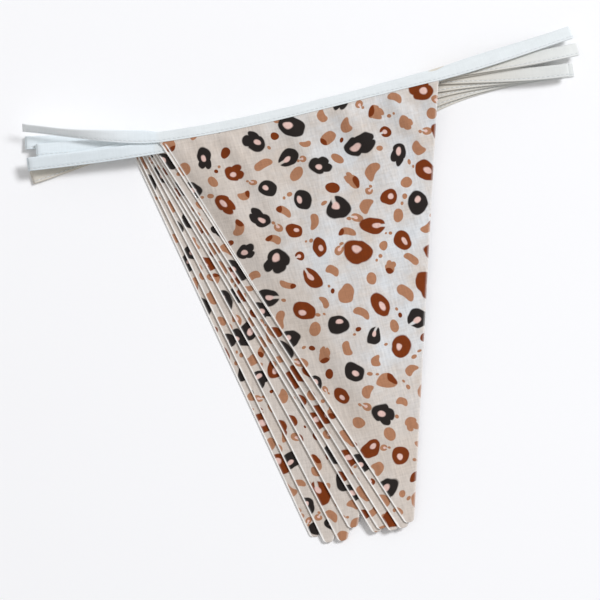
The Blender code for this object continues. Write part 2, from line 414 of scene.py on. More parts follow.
# %% [markdown]
# ## Nodes
#
# A material is a small graph, and most of its lines add one node, set it and link it. One
# function does all of that: it takes the node's kind, what goes into its inputs, and its
# settings, and gives back the output that the next node needs.

# %% A helper for nodes


def add(tree, kind, inputs=(), output=0, **settings):
    """Adds a node, of a kind without the common ShaderNode before it.

    Its inputs are listed from the first on, or named. A socket is linked, and a value is set.
    """
    made = tree.nodes.new(f"ShaderNode{kind}")
    for name, value in settings.items():
        setattr(made, name, value)
    named = inputs if isinstance(inputs, dict) else dict(enumerate(inputs))
    for socket, source in named.items():
        if isinstance(source, bpy.types.NodeSocket):
            tree.links.new(source, made.inputs[socket])
        else:
            made.inputs[socket].default_value = source
    return made.outputs[output]


def new_material(name):
    """A material with one Principled shader, its node tree, and that shader."""
    made = bpy.data.materials.new(name)
    made.use_nodes = True
    return made, made.node_tree, made.node_tree.nodes["Principled BSDF"]


# %% [markdown]
# ## The print: a lattice of spots
#
# The cloth has pigment inks printed on it, so its spots are flat and matt, and they follow
# the cut piece and not the room. They are of the common animal kind. They could be drawn one
# by one, but spots that follow a rule need no picture. Three square lattices that interlock
# keep the spacing even: big spots sit on one, beans on the next and dots on the last. Every
# cell draws its own turn, size and kind from white noise.

# %% A spot in its cell
CELL = 25.0  # from one big spot to the next
PLAIN_FROM = 0.68  # the draw from which a spot is smaller, and a big one has no pink middle
SHRINK = 0.2  # how much smaller it is

# A lattice's shift in cells, over what reach its spots stray, their least and largest size,
# how much of the wobble they get, and the seeds of their two draws of three numbers
Lattice = namedtuple("Lattice", "offset stray sizes wobble seeds")
BIG = Lattice((0.0, 0.0), 4.5, (5.9, 8.6), 1.0, (3.0, 12.0))
SMALL = Lattice((0.5, 0.5), 3.0, (4.3, 5.9), 0.42, (5.0, 14.0))
DOTS = Lattice((0.5, 0.0), 2.5, (2.5, 3.6), 0.5, (7.0, 16.0))


def chosen(tree, mask, draw, low, high):
    """A mask that counts only in the cells whose draw lies between two shares."""
    above = add(tree, "Math", [draw, low], operation="GREATER_THAN")
    below = add(tree, "Math", [draw, high], operation="LESS_THAN")
    both = add(tree, "Math", [above, below], operation="MULTIPLY")
    return add(tree, "Math", [mask, both], operation="MULTIPLY")


def without(tree, mask, cut):
    """A mask with another one cut out of it."""
    rest = add(tree, "Math", [1.0, cut], operation="SUBTRACT")
    return add(tree, "Math", [mask, rest], operation="MULTIPLY")


def cell_middle(tree, place, x, y):
    """The middle of the cell that a point is in, on a lattice with this offset."""
    cell = add(tree, "VectorMath", [place, (1.0 / CELL, 1.0 / CELL, 0.0), (0.5 - x, 0.5 - y, 0.0)],
               operation="MULTIPLY_ADD")
    cell = add(tree, "VectorMath", [cell], operation="FLOOR")
    return add(tree, "VectorMath", [cell, (CELL, CELL, 0.0), (CELL * x, CELL * y, 0.0)],
               operation="MULTIPLY_ADD")


def both_ways(tree, draw, reach):
    """A draw or a noise from 0 to 1 as a shift by up to half a reach both ways."""
    return add(tree, "VectorMath", [draw, (reach, reach, 0.0), (-reach / 2.0, -reach / 2.0, 0.0)],
               operation="MULTIPLY_ADD")


def in_spot(tree, place, wobble, lattice):
    """A point's place in its own spot, in sizes of that spot, and the cell's kind and form."""
    middle = cell_middle(tree, place, *lattice.offset)
    draw, more = (add(tree, "TexWhiteNoise", {"Vector": middle, "W": seed}, "Color",
                      noise_dimensions="4D") for seed in lattice.seeds)
    near = add(tree, "VectorMath", [place, middle], operation="SUBTRACT")
    near = add(tree, "VectorMath", [near, both_ways(tree, draw, lattice.stray)],
               operation="SUBTRACT")
    turn = add(tree, "SeparateXYZ", [draw], "Z")
    turn = add(tree, "Math", [turn, math.tau], operation="MULTIPLY")
    near = add(tree, "VectorRotate", {"Vector": near, "Angle": turn}, rotation_type="Z_AXIS")
    near = add(tree, "VectorMath", [wobble, [lattice.wobble] * 3, near], operation="MULTIPLY_ADD")
    drawn = add(tree, "SeparateXYZ", [more]).node.outputs
    kind, form = drawn["Y"], drawn["Z"]
    size = add(tree, "MapRange", {"Value": drawn["X"], "To Min": lattice.sizes[0],
               "To Max": lattice.sizes[1]})
    size = without(tree, size, chosen(tree, SHRINK, kind, PLAIN_FROM, 1.0))
    size = add(tree, "Math", [1.0, size], operation="DIVIDE")
    near = add(tree, "VectorMath", {0: near, "Scale": size}, operation="SCALE")
    return near, kind, form


print("spots to a square decimetre:", round(3.0 * (100.0 / CELL) ** 2))

# %% [markdown]
# ## The shapes in a spot
#
# The print's shapes are ovals, and what bends or cuts them, in the spot's own measure, in
# which the spot has a size of 1. An oval is all that lies nearer to its centre than its size,
# with the two directions squeezed. An open ring has a narrow gap from its middle outwards.
# Every mark is such a shape in one ink, and is there in the cells with the right draws.

# %% Ovals, gaps and marks
BLACK = hex_colour("211B18")
RUST = hex_colour("743000")
TAN = hex_colour("AB795A")
PINK = hex_colour("DFBDB3")
EDGE = 0.05  # the softness of a spot's edge, as a share of its size
NARROWING = 0.02  # how a gap narrows outwards
ANY = -1.0  # below every draw

# An oval's centre, how its two directions are squeezed, and its size
Oval = namedtuple("Oval", "x y squeeze_x squeeze_y size")
# Where a gap starts, and half of its width
Gap = namedtuple("Gap", "x y half")
# A mark's oval, the draws of kind that it lies between, its ink, the draws of form that it
# lies between, the gap that opens it, and whether it is only on the spot's body. A mark
# without an oval is that body itself.
Mark = namedtuple("Mark", "oval kinds ink forms gap on_body", defaults=(None, None, False))


def inside(tree, distance, size):
    """1 where a distance is less than the size, and 0 beyond it, with a soft edge."""
    return add(tree, "MapRange", {"Value": distance, "From Min": size + EDGE,
               "From Max": size - EDGE})


def distance_to(tree, near, oval):
    """How far a point is from an oval's centre, in the oval's own measure."""
    off = add(tree, "VectorMath", [near, (oval.x, oval.y, 0.0)], operation="SUBTRACT")
    off = add(tree, "VectorMath", [off, (oval.squeeze_x, oval.squeeze_y, 0.0)],
              operation="MULTIPLY")
    return add(tree, "VectorMath", [off], "Value", operation="LENGTH")


def in_oval(tree, near, oval):
    return inside(tree, distance_to(tree, near, oval), oval.size)


def in_gap(tree, near, gap):
    """The gap that opens a ring at one side."""
    off = add(tree, "VectorMath", [near, (gap.x, gap.y, 0.0)], operation="SUBTRACT")
    split = add(tree, "SeparateXYZ", [off]).node.outputs
    across = add(tree, "Math", [split["Y"]], operation="ABSOLUTE")
    wedge = add(tree, "Math", [split["X"], NARROWING, across], operation="MULTIPLY_ADD")
    narrow = inside(tree, wedge, gap.half)
    ahead = add(tree, "Math", [split["X"], 0.0], operation="GREATER_THAN")
    return add(tree, "Math", [narrow, ahead], operation="MULTIPLY")


def paint(tree, under, mask, ink):
    """Lays an ink over what is under it, where the mask is 1."""
    return add(tree, "Mix", {"Factor": mask, "A": under, "B": ink}, "Result", data_type="RGBA")


def print_marks(tree, cloth, spot, body, marks):
    """Prints a spot's marks on the cloth, one after the other."""
    near, kind, form = spot
    for mark in marks:
        mask = in_oval(tree, near, mark.oval) if mark.oval else body
        if mark.gap:
            mask = without(tree, mask, in_gap(tree, near, mark.gap))
        if mark.on_body:
            mask = add(tree, "Math", [mask, body], operation="MULTIPLY")
        if mark.forms:
            mask = chosen(tree, mask, form, *mark.forms)
        cloth = paint(tree, cloth, chosen(tree, mask, kind, *mark.kinds), mark.ink)
    return cloth


print("inks: black, rust, tan and pink")

# %% [markdown]
# ## Big spots
#
# A big spot is black or rust and has a pink middle off its centre. Some have four petals on
# one side, from a sine of twice the angle that cuts creases into the rim. A few rings are
# open. The rest are plain tan blobs, some with a corner of rust printed over them.

# %% Big spots
PETALS_TO = 0.36  # the draws of form up to which it has petals, and from which it is open
OPEN_FROM = 0.9
CREASE = 1.7  # how narrow the creases between petals are
CREASE_DEPTH = 0.32
CREASE_SIDE = (0.5, -0.4)  # they deepen from the first place to the second, through the spot
BLOB = Oval(0.0, 0.0, 0.94, 1.12, 1.0)
BLOB_GAP = Gap(0.4, 0.1, 0.15)
BIG_MARKS = (
    Mark(None, (ANY, 0.4431), BLACK),
    Mark(None, (0.4431, 0.6824), RUST),
    Mark(None, (0.6824, 1.0), TAN),
    Mark(Oval(0.24, 0.1, 0.8, 1.0, 0.27), (ANY, PLAIN_FROM), PINK),
    Mark(Oval(1.0, 0.3, 1.0, 1.0, 0.8), (0.84, 1.0), RUST, on_body=True),
)


def creases(tree, near):
    """How far the creases between four petals cut into a spot, on its one side."""
    split = add(tree, "SeparateXYZ", [near]).node.outputs
    angle = add(tree, "Math", [split["Y"], split["X"]], operation="ARCTAN2")
    cut = add(tree, "Math", [angle, 2.0], operation="MULTIPLY")
    cut = add(tree, "Math", [cut], operation="SINE")
    cut = add(tree, "Math", [cut], operation="ABSOLUTE")
    cut = add(tree, "Math", [1.0, cut], operation="SUBTRACT")
    cut = add(tree, "Math", [cut, CREASE], operation="POWER")
    one_side = add(tree, "MapRange", {"Value": split["X"], "From Min": CREASE_SIDE[0],
                   "From Max": CREASE_SIDE[1], "To Max": CREASE_DEPTH})
    return add(tree, "Math", [cut, one_side], operation="MULTIPLY")


def big_spots(tree, cloth, place, wobble):
    near, kind, form = spot = in_spot(tree, place, wobble, BIG)
    petals = chosen(tree, creases(tree, near), form, 0.0, PETALS_TO)
    far = add(tree, "Math", [distance_to(tree, near, BLOB), petals], operation="ADD")
    gap = chosen(tree, in_gap(tree, near, BLOB_GAP), form, OPEN_FROM, 1.0)
    gap = chosen(tree, gap, kind, ANY, PLAIN_FROM)
    body = without(tree, inside(tree, far, BLOB.size), gap)
    return print_marks(tree, cloth, spot, body, BIG_MARKS)


print("kinds of marks in a big spot:", len(BIG_MARKS))

# %% [markdown]
# ## Beans, ovals and small rings
#
# Between the big spots lie tan beans, tan or rust ovals and a few small rust rings. A bean is
# a bent sausage: its length has a straight part, which the distance leaves out, so that both
# ends are round, and a square of the place along it bends it. Some have a rust end.

# %% Beans, ovals and small rings
BEAN = Oval(0.0, 0.0, 1.0, 1.0, 0.56)
BEAN_STRAIGHT = 0.46  # half of its length without the round ends
BEND = 0.32
BEND_BACK = 0.12
SMALL_OVAL = Oval(0.0, 0.0, 0.98, 1.3, 1.0)
SMALL_MARKS = (
    Mark(None, (ANY, 0.56), TAN),
    Mark(Oval(1.0, 0.1, 1.0, 1.0, 0.7), (ANY, 0.14), RUST, on_body=True),
    Mark(SMALL_OVAL, (0.56, 0.86), TAN, forms=(ANY, 0.6235)),
    Mark(SMALL_OVAL, (0.56, 0.86), RUST, forms=(0.6235, 1.0)),
    Mark(Oval(0.0, 0.0, 1.0, 1.15, 1.0), (0.86, 1.0), RUST, gap=Gap(0.3, 0.0, 0.16)),
    Mark(Oval(0.2, 0.0, 0.8, 1.0, 0.33), (0.86, 1.0), PINK),
)


def in_bean(tree, near):
    split = add(tree, "SeparateXYZ", [near]).node.outputs
    bend = add(tree, "Math", [split["X"], split["X"]], operation="MULTIPLY")
    bend = add(tree, "Math", [bend, BEND, -BEND_BACK], operation="MULTIPLY_ADD")
    across = add(tree, "Math", [split["Y"], bend], operation="SUBTRACT")
    past = add(tree, "Math", [split["X"]], operation="ABSOLUTE")
    past = add(tree, "Math", [past, BEAN_STRAIGHT], operation="SUBTRACT")
    past = add(tree, "Math", [past, 0.0], operation="MAXIMUM")
    return in_oval(tree, add(tree, "CombineXYZ", {"X": past, "Y": across}), BEAN)


def small_spots(tree, cloth, place, wobble):
    spot = in_spot(tree, place, wobble, SMALL)
    return print_marks(tree, cloth, spot, in_bean(tree, spot[0]), SMALL_MARKS)


print("kinds of marks in a small spot:", len(SMALL_MARKS))

# %% [markdown]
# ## Dots
#
# The last lattice fills the gaps: tiny open rings with a pink middle, tan or rust dots, and a
# smaller dot beside many of them.

# %% Dots
LARGE_DOT = Oval(-0.6, -0.1, 0.9, 1.1, 0.6)
DOT_MARKS = (
    Mark(Oval(0.95, 0.4, 1.0, 1.1, 0.4), (ANY, 0.7), TAN),
    Mark(Oval(-0.4, 0.0, 0.9, 1.0, 0.9), (ANY, 0.3), TAN, gap=Gap(-0.3, 0.0, 0.2)),
    Mark(Oval(-0.2, 0.0, 1.0, 1.0, 0.34), (ANY, 0.3), PINK),
    Mark(LARGE_DOT, (0.3, 0.85), TAN, forms=(ANY, 0.8)),
    Mark(LARGE_DOT, (0.3, 0.85), RUST, forms=(0.8, 1.0)),
)


def dots(tree, cloth, place, wobble):
    return print_marks(tree, cloth, in_spot(tree, place, wobble, DOTS), None, DOT_MARKS)


print("kinds of marks between the spots:", len(DOT_MARKS))

# %% [markdown]
# ## Plain-weave cotton
#
# Up close, plain-weave cotton is a mat of threads about a third of a millimetre apart. From
# arm's length the single threads blend, and what stays are the slightly thicker ones: short
# faint streaks along and across the cloth. They are drawn here a little coarser than they
# are, or the picture would lose them. Cotton is matt, with a faint sheen of loose fibre.

# %% The weave
SLUB = (1.3, 11.0)  # the width and length of a thicker thread's streak
CROSSWISE = 0.4  # the share of the streaks that run across
STREAKS = (0.25, 0.75)  # the range of the noise that makes them
WEAVE_RELIEF = 0.35


def weave(tree, place):
    """The streaks of thicker threads, along and across: 0 to 1 with a middle of a half."""
    streaks = []
    for wide, long in (SLUB, SLUB[::-1]):
        stretched = add(tree, "VectorMath", [place, (1.0 / wide, 1.0 / long, 1.0)],
                        operation="MULTIPLY")
        streaks.append(add(tree, "TexNoise", {"Vector": stretched, "Scale": 1.0,
                           "Detail": 2.0, "Roughness": 0.6}))
    return add(tree, "Mix", {"Factor": CROSSWISE, "A": streaks[0], "B": streaks[1]})


def cotton_surface(tree, shader, colour, streaks, strength, depth):
    """Sends a colour and its weave to the shader: how much it shades, and how deep it is."""
    shade = add(tree, "MapRange", {"Value": streaks, "From Min": STREAKS[0],
                "From Max": STREAKS[1], "To Min": 1.0 - strength, "To Max": 1.0 + strength})
    shaded = add(tree, "VectorMath", {0: colour, "Scale": shade}, operation="SCALE")
    bump = add(tree, "Bump", {"Height": streaks, "Strength": WEAVE_RELIEF,
               "Distance": depth * MM})
    tree.links.new(shaded, shader.inputs["Base Color"])
    tree.links.new(bump, shader.inputs["Normal"])
    shader.inputs["Roughness"].default_value = 0.9
    shader.inputs["Specular IOR Level"].default_value = 0.25
    shader.inputs["Sheen Weight"].default_value = 0.12
    shader.inputs["Sheen Roughness"].default_value = 0.5


print("a thick thread's streak, in mm:", SLUB)

# %% [markdown]
# ## The printed cloth
#
# The ground is never one even colour. It is warmer and cooler in soft patches, and a painted
# shade makes it warmer, yellower and darker towards the pennant's left side and its tip. The
# print's lattice is turned on the cloth and warped, which takes its order away. Along the seams
# a light line is painted: partly the bare edge of the cloth, partly a painted highlight where
# the rounded edge catches the light. Where the seam line and the painted shade lie comes from
# the mesh as attributes.

# %% The printed cloth
CLOTH_WARM = hex_colour("CEC4BA")
CLOTH_COOL = hex_colour("D5D7D8")
# The next colour is painted shade: the cloth warmer and darker towards its left side and tip.
CLOTH_PAINTED_SHADE = hex_colour("CDC1B5")
# The seam line's colour: partly the bare cloth, partly a painted highlight on the rounded edge.
SEAM_LIGHT = hex_colour("FFFCF7")
PATCH = 36.0  # the size of the soft patches
PATCH_RANGE = (0.38, 0.62)  # what their noise is at the warmest and at the coolest
LATTICE_TURN = 0.6  # radians

# A shift that changes over the cloth: its reach, over what distance, and how rough it is
Uneven = namedtuple("Uneven", "amount size detail")
WARP = Uneven(14.0, 40.0, 0.0)
WOBBLE = Uneven(4.0, 9.0, 0.6)


def uneven_shift(tree, place, uneven):
    noise = add(tree, "TexNoise", {"Vector": place, "Scale": 1.0 / uneven.size,
                "Detail": uneven.detail}, "Color")
    return both_ways(tree, noise, uneven.amount)


def printed_cotton():
    """Pigment print on plain-weave cotton: matt, with painted shade, and a light seam line of bare
    cloth and painted highlight.
    """
    made, tree, shader = new_material("printed_plain_weave_cotton")
    place = add(tree, "UVMap", uv_map="cut")
    place = add(tree, "VectorMath", {0: place, "Scale": 1.0 / MM}, operation="SCALE")
    soft = add(tree, "TexNoise", {"Vector": place, "Scale": 1.0 / PATCH, "Detail": 5.0,
               "Roughness": 0.68})
    patch = add(tree, "MapRange", {"Value": soft, "From Min": PATCH_RANGE[0],
                "From Max": PATCH_RANGE[1]})
    cloth = paint(tree, CLOTH_WARM, patch, CLOTH_COOL)
    # Painted shade: a warm, darker tint towards the pennant's left side and its tip.
    painted_shade = add(tree, "Attribute", [], "Fac", attribute_name="painted_shade")
    cloth = paint(tree, cloth, painted_shade, CLOTH_PAINTED_SHADE)
    warped = add(tree, "VectorMath", [place, uneven_shift(tree, place, WARP)], operation="ADD")
    warped = add(tree, "VectorRotate", {"Vector": warped, "Angle": LATTICE_TURN},
                 rotation_type="Z_AXIS")
    wobble = uneven_shift(tree, place, WOBBLE)
    for layer_of_print in (dots, small_spots, big_spots):
        cloth = layer_of_print(tree, cloth, warped, wobble)
    # The light seam line, partly bare cloth and partly a painted highlight, is laid on last.
    seam = add(tree, "Attribute", [], "Fac", attribute_name="seam")
    cloth = paint(tree, cloth, seam, SEAM_LIGHT)
    cotton_surface(tree, shader, cloth, weave(tree, place), strength=0.19, depth=0.2)
    return made


printed = printed_cotton()
print("nodes in the print:", len(printed.node_tree.nodes))

# %% [markdown]
# ## The pennants
#
# A pennant is two triangles of cloth, sewn face to face along the sides, turned and pressed.
# Its edges are thin and round, with a slightly thicker band inside them where the seam
# allowances lie. All of this is a matter of thickness and small lifts on a grid, so the grid
# has columns at real distances from the two sides, and shares of the width only between
# them. On the top pennant the back panel shows past the front one along the upper left side,
# so it gets a few more columns there.

# %% The pennants' rows and columns
SIDE_COLUMNS = (0.0, 0.12, 0.35, 0.7, 1.3, 2.3)
MIDDLE_COLUMNS = 58
NARROW = 12.0  # where a pennant is narrower than this, its side columns move closer
PEEK = 2.6  # how far the top pennant's back panel shows past its front one, at the tape
PEEK_LENGTH = 175.0
PEEK_COLUMNS = (0.0, 0.1, 0.3, 0.6, 0.97)  # as shares of it
LEAST_PEEK = 0.05
ROW_STEP = 2.6
TIP_ROWS = (0.12, 0.35, 0.7, 1.3, 2.3)  # rows at these distances from the tip
NECK = 0.8  # how far below the tape the cloth is still pressed
SHOULDER = 3.2  # and where it has its full thickness
TONGUE_ROWS = (5.8, 2.5, -NECK)  # the rows of its pressed top, up from the tape's open edge


def column_shares(width, peek):
    """Each column's share of a width: fixed distances at both sides, even ones between."""
    sides = np.array(SIDE_COLUMNS) * min(1.0, width / NARROW)
    left = np.concatenate([np.array(PEEK_COLUMNS) * peek, peek + sides]) if peek else sides
    middle = np.linspace(left[-1], width - sides[-1], MIDDLE_COLUMNS)[1:-1]
    return np.concatenate([left, middle, (width - sides)[::-1]]) / width


def row_places(full_length):
    """Whether each row is in the tape, and how far down the cloth it is, in mm."""
    hanging = full_length - SHOULDER
    near_tip = hanging - np.array(TIP_ROWS)[::-1]
    even = np.linspace(0.0, near_tip[0], round(near_tip[0] / ROW_STEP))
    down = SHOULDER + np.concatenate([even, near_tip[1:], [hanging]])
    return [(True, -up) for up in TONGUE_ROWS] + [(False, float(place)) for place in down]


print("columns in a pennant's grid:", len(column_shares(FLAG_WIDTH, 0.0)))

# %% [markdown]
# ## Puckers under the tape
#
# The tape grips the cloth a little tighter than it is cut, so the cloth puckers below it.
# Each pucker is a soft ridge that fades downwards, placed one by one as uneven as in the photo.
# The top pennant's puckers stand free. Those of the others are pressed flat.

# %% Puckers
# The share of the width, how wide and how long in mm, and how high
Pucker = namedtuple("Pucker", "share width length lift")
PUCKERS = (
    Pucker(0.05, 4.5, 30.0, 0.45),
    Pucker(0.14, 4.5, 18.0, 0.35),
    Pucker(0.225, 6.0, 42.0, 0.65),
    Pucker(0.35, 4.0, 18.0, 0.40),
    Pucker(0.44, 6.0, 32.0, 0.65),
    Pucker(0.535, 4.5, 16.0, 0.35),
    Pucker(0.645, 8.5, 46.0, 0.90),
    Pucker(0.74, 4.5, 20.0, 0.30),
    Pucker(0.82, 7.0, 42.0, 0.80),
    Pucker(0.93, 5.0, 24.0, 0.35),
)
TOP_PUCKERS = 4.8  # how many times as high those of the top pennant are
LOWER_PUCKERS = 0.3
PUCKER_DRIFT = 0.37  # each pennant has them further along by this share of its width
PUCKER_END = 1.5  # how abruptly they end
GATHER = 5.0  # how soon below the tape they reach their height
GATHERED = 0.7  # how much lower they are at the tape


def pucker_lift(number, across, down):
    """How far the puckers lift a row, from its points' places across and its place down."""
    lift = np.zeros(len(across))
    for pucker in PUCKERS:
        at = (pucker.share + number * PUCKER_DRIFT) % 1.0 * FLAG_WIDTH
        wide = np.exp(-(((across - at) / pucker.width) ** 2))
        lift += pucker.lift * wide * math.exp(-((down / pucker.length) ** PUCKER_END))
    lift *= 1.0 - GATHERED * math.exp(-down / GATHER)
    return lift * (TOP_PUCKERS if number == 0 else LOWER_PUCKERS)


highest = TOP_PUCKERS * max(pucker.lift for pucker in PUCKERS)
print("the highest pucker, in mm:", round(highest, 1))

# %% [markdown]
# ## The cloth's thickness and its shades
#
# Two pressed layers of cotton are under a millimetre thick. The edge is a half round, so the
# thickness rises from nothing like a circle does. Two numbers at each vertex tell the
# material where the light seam line runs, partly bare cloth and partly painted highlight, and
# where the cloth gets its painted shade.

# %% Thickness and shades of a row
CLOTH = 0.75  # two pressed layers
PANEL = 0.32  # the back panel's thickness where it is alone
ALLOWANCE = 0.22  # what the seam allowances inside add
ALLOWANCE_WIDTH = (7.0, 2.0)  # in full that far in, and over the second length to nothing
ROUND = 0.45  # how far in an edge's round goes
TONGUE_THICK = 0.3
TIP_ROUND = 2.2  # the radius of the tip's two corners
AT_EDGE = 1e-6  # a place this little outside an edge is at the edge

# How far in each shade goes: in full up to the first distance, and over the second to
# nothing. The seam line, partly painted highlight, is fainter at the right, and the painted
# shade is never laid on in full.
SEAM_LINE = (0.78, 0.65)
RIGHT_SEAM = 0.25
PAINTED_SHADE = 0.8
PAINTED_SHADE_CORNER = (40.0, 90.0)
PAINTED_SHADE_SIDE = (15.0, 45.0)
PAINTED_SHADE_TIP = (50.0, 80.0)


def reaching(distance, reach):
    """1 up to a reach's first distance, easing down to 0 over its second."""
    return fall(distance - reach[0], reach[1])


def rounding(distance):
    """0 at a rounded edge, rising like a circle to 1 where the round ends."""
    inner = np.clip(distance / ROUND, 0.0, 1.0)
    return np.sqrt(1.0 - (1.0 - inner) ** 2)


def seam_light(from_left, from_right, peek):
    """How much of the light seam line, bare cloth and painted highlight, a row's points get: along
    both seams, and along the front panel's edge.
    """
    light = np.maximum(reaching(from_left, SEAM_LINE), RIGHT_SEAM * reaching(from_right, SEAM_LINE))
    if not peek:
        return light
    front = from_left - peek
    return np.maximum(light, reaching(front, SEAM_LINE) * (front > -AT_EDGE))


def shade_painted(from_left, down, from_tip):
    """How much painted shade a row's points get: near the left corner, the left side and the tip.
    """
    corner = reaching(np.hypot(from_left, down), PAINTED_SHADE_CORNER)
    side = reaching(from_left, PAINTED_SHADE_SIDE)
    return PAINTED_SHADE * np.maximum(np.maximum(corner, side), reaching(from_tip, PAINTED_SHADE_TIP))


def tip_squeezed(place, shares, width, from_tip):
    """A row's points, drawn in where the blunt tip's corners are rounded."""
    inset = TIP_ROUND - math.sqrt(max(0.0, TIP_ROUND**2 - (TIP_ROUND - from_tip) ** 2))
    squeeze = (0.5 - shares) * 2.0 * min(inset, width / 2.0)
    return place + np.outer(squeeze, unit(place[-1] - place[0]))


def hanging_row(place, lies_on, from_left, from_side, from_tip, peek):
    """The under and the upper side of a row that hangs free, from the heights it lies on."""
    thick = CLOTH + ALLOWANCE * reaching(from_side, ALLOWANCE_WIDTH)
    middle = lies_on + thick / 2.0
    half = thick / 2.0 * rounding(np.minimum(from_side, from_tip))
    upper = middle + half
    if peek:
        alone = lies_on + np.minimum(2.0 * half, PANEL)
        step = rounding(np.maximum(from_left - peek, 0.0))
        upper = alone + np.maximum(upper - alone, 0.0) * step
    return np.column_stack([place, middle - half]), np.column_stack([place, upper])


print("thickness at the seams and inside them, in mm:", round(CLOTH + ALLOWANCE, 2), CLOTH)

# %% [markdown]
# ## Making the pennants
#
# Every row is laid from the tape to the tip: a thin tongue inside the tape, then the cloth
# on the bed of all that is below it. A flat grid is extruded into two sides, and each vertex
# is sent to its place by its row and column. The cloth's map is the cut piece, and each
# pennant was cut from another place of the printed cloth.

# %% Making the pennants
CUT_SHIFT = (61.0, 87.0)  # how far on along the cloth each pennant was cut


def pennant_rows(number):
    """Rows of the under and upper side, the cut piece's map, and both shades."""
    layer = layers[number]
    open_edge, folded_edge = (edge[layer.over] for edge in tape_edges(number, TAPE_THICK))
    up_tape = (folded_edge - open_edge) / layer.width[layer.over][:, None]
    foot = tip_edge(layer.flag, ALONG_TOP)
    full_length = float(np.linalg.norm(foot - open_edge[:, :2], axis=1).mean())
    rows = []
    for in_tape, down in row_places(full_length):
        width = FLAG_WIDTH + (TIP_WIDTH - FLAG_WIDTH) * max(0.0, down) / full_length
        peek = max(LEAST_PEEK, PEEK * fall(max(0.0, down), PEEK_LENGTH)) if number == 0 else 0.0
        shares = column_shares(width, peek)
        from_left = shares * width
        from_right = (1.0 - shares) * width
        from_side = np.minimum(from_left, from_right)
        from_tip = full_length - down
        top = read_along(shares, ALONG_TOP, open_edge)
        if in_tape:  # the places down are negative there, and so lead up into the tape
            middle = top - down * read_along(shares, ALONG_TOP, up_tape)
            half = np.outer(TONGUE_THICK / 2.0 * rounding(from_side), (0.0, 0.0, 1.0))
            sides = (middle - half, middle + half)
            seam = np.zeros(len(shares))
        else:
            run = read_along(shares, ALONG_TOP, foot) - top[:, :2]
            length = np.linalg.norm(run, axis=1)[:, None]
            share = (down - SHOULDER) / (full_length - SHOULDER)
            place = top[:, :2] + unit(run) * (SHOULDER + (length - SHOULDER) * share)
            if from_tip < TIP_ROUND:
                place = tip_squeezed(place, shares, width, from_tip)
            lies_on = bed(number, place) + pucker_lift(number, from_left, down)
            sides = hanging_row(place, lies_on, from_left, from_side, from_tip, peek)
            seam = seam_light(from_left, from_right, peek)
        cut = np.column_stack([from_left - width / 2.0, np.full(len(shares), -down)])
        rows.append((*sides, cut, seam, shade_painted(from_left, down, from_tip)))
    return [np.array(part) for part in zip(*rows)]


def make_pennant(number):
    under, upper, cut, seam, painted_shade = pennant_rows(number)
    rows, columns = seam.shape
    bm = grid(rows, columns)
    raised = bmesh.ops.extrude_face_region(bm, geom=list(bm.faces), use_keep_orig=True)
    copies = [item for item in raised["geom"] if isinstance(item, bmesh.types.BMVert)]
    bmesh.ops.translate(bm, verts=copies, vec=(0.0, 0.0, 1.0))
    uv = bm.loops.layers.uv.new("cut")
    # The seam line, partly painted highlight, and the painted shade go onto the vertices.
    light = bm.verts.layers.float.new("seam")
    shade_paint = bm.verts.layers.float.new("painted_shade")
    shift = np.array(CUT_SHIFT) * (number + 1)
    spots = {}
    for vert in bm.verts:
        row, column = place_in(vert, rows, columns)
        on_top = vert.co.z > 0.5
        spots[vert] = cut[row, column] * (1.0 if on_top else -1.0, 1.0) + shift
        vert[light] = seam[row, column]
        vert[shade_paint] = painted_shade[row, column]
        vert.co = (upper if on_top else under)[row, column] * MM
    write_map(bm, uv, spots)
    bmesh.ops.recalc_face_normals(bm, faces=bm.faces)
    return add_piece(f"pennant_{number + 1}", bm, printed)


pennants = [make_pennant(number) for number in range(len(FLAGS))]
print("triangles in a pennant:", 2 * len(pennants[0].data.polygons))

# %% [markdown]
# ## The binding tape's sections
#
# The tape is a strip of white cotton with its raw edges turned in, folded lengthwise over the
# pennants' tops and sewn along its open edge. Its section is a U, and it changes where it
# leaves a pennant: there it is empty and thinner. Each section stands square to the run, and
# where the tape folds back onto itself a few sections turn through a half round.

# %% The tape's sections
# The tape's thickness, and its slot's width and depth: where it is empty, and on a pennant
EMPTY = (1.05, 0.16, 4.6)
HOLDING = (TAPE_THICK, 0.9, 6.3)
GRIPS_TO = 0.15  # how free of its pennant the tape may be and still hold it
GRIP_EASE = 5  # over so many points the section changes
TURN_SECTIONS = 7

# A warm painted shade lies on the tape's white where it lies low in the stack: to the left only
# on the two lowest stretches, to the right on all but the top two, and those lose a share of it
# over a length outwards
WARM_LEFT_FROM = 7
WARM_RIGHT_FROM = 2
PALE_END = 0.55
PALE_LENGTH = 105.0
LEAST_WARMTH = 0.2  # the least warmth of the tape over the pennants and to the right

Section = namedtuple("Section", "middle across outward width thick slot depth tone fresh run")


def eased(values, count):
    """Numbers along a line, smoothed over a few neighbours."""
    kernel = np.hanning(count + 2)[1:-1]
    padded = np.pad(values, count // 2, mode="edge")
    return np.convolve(padded, kernel / kernel.sum(), mode="valid")


def stack_shades(number, layer):
    """How much warm painted shade the tape's white gets at each point of a layer: 0 is cool and 1
    is warm.
    """
    order = np.arange(len(layer.run))
    past = layer.run - layer.run[layer.over.stop - 1]
    warm = (order >= layer.over.stop) & (number >= WARM_RIGHT_FROM)
    right = warm * (1.0 - PALE_END * (1.0 - fall(past, PALE_LENGTH)))
    left = float(number >= WARM_LEFT_FROM)
    return np.where(order < layer.over.start, left, np.maximum(right, LEAST_WARMTH))


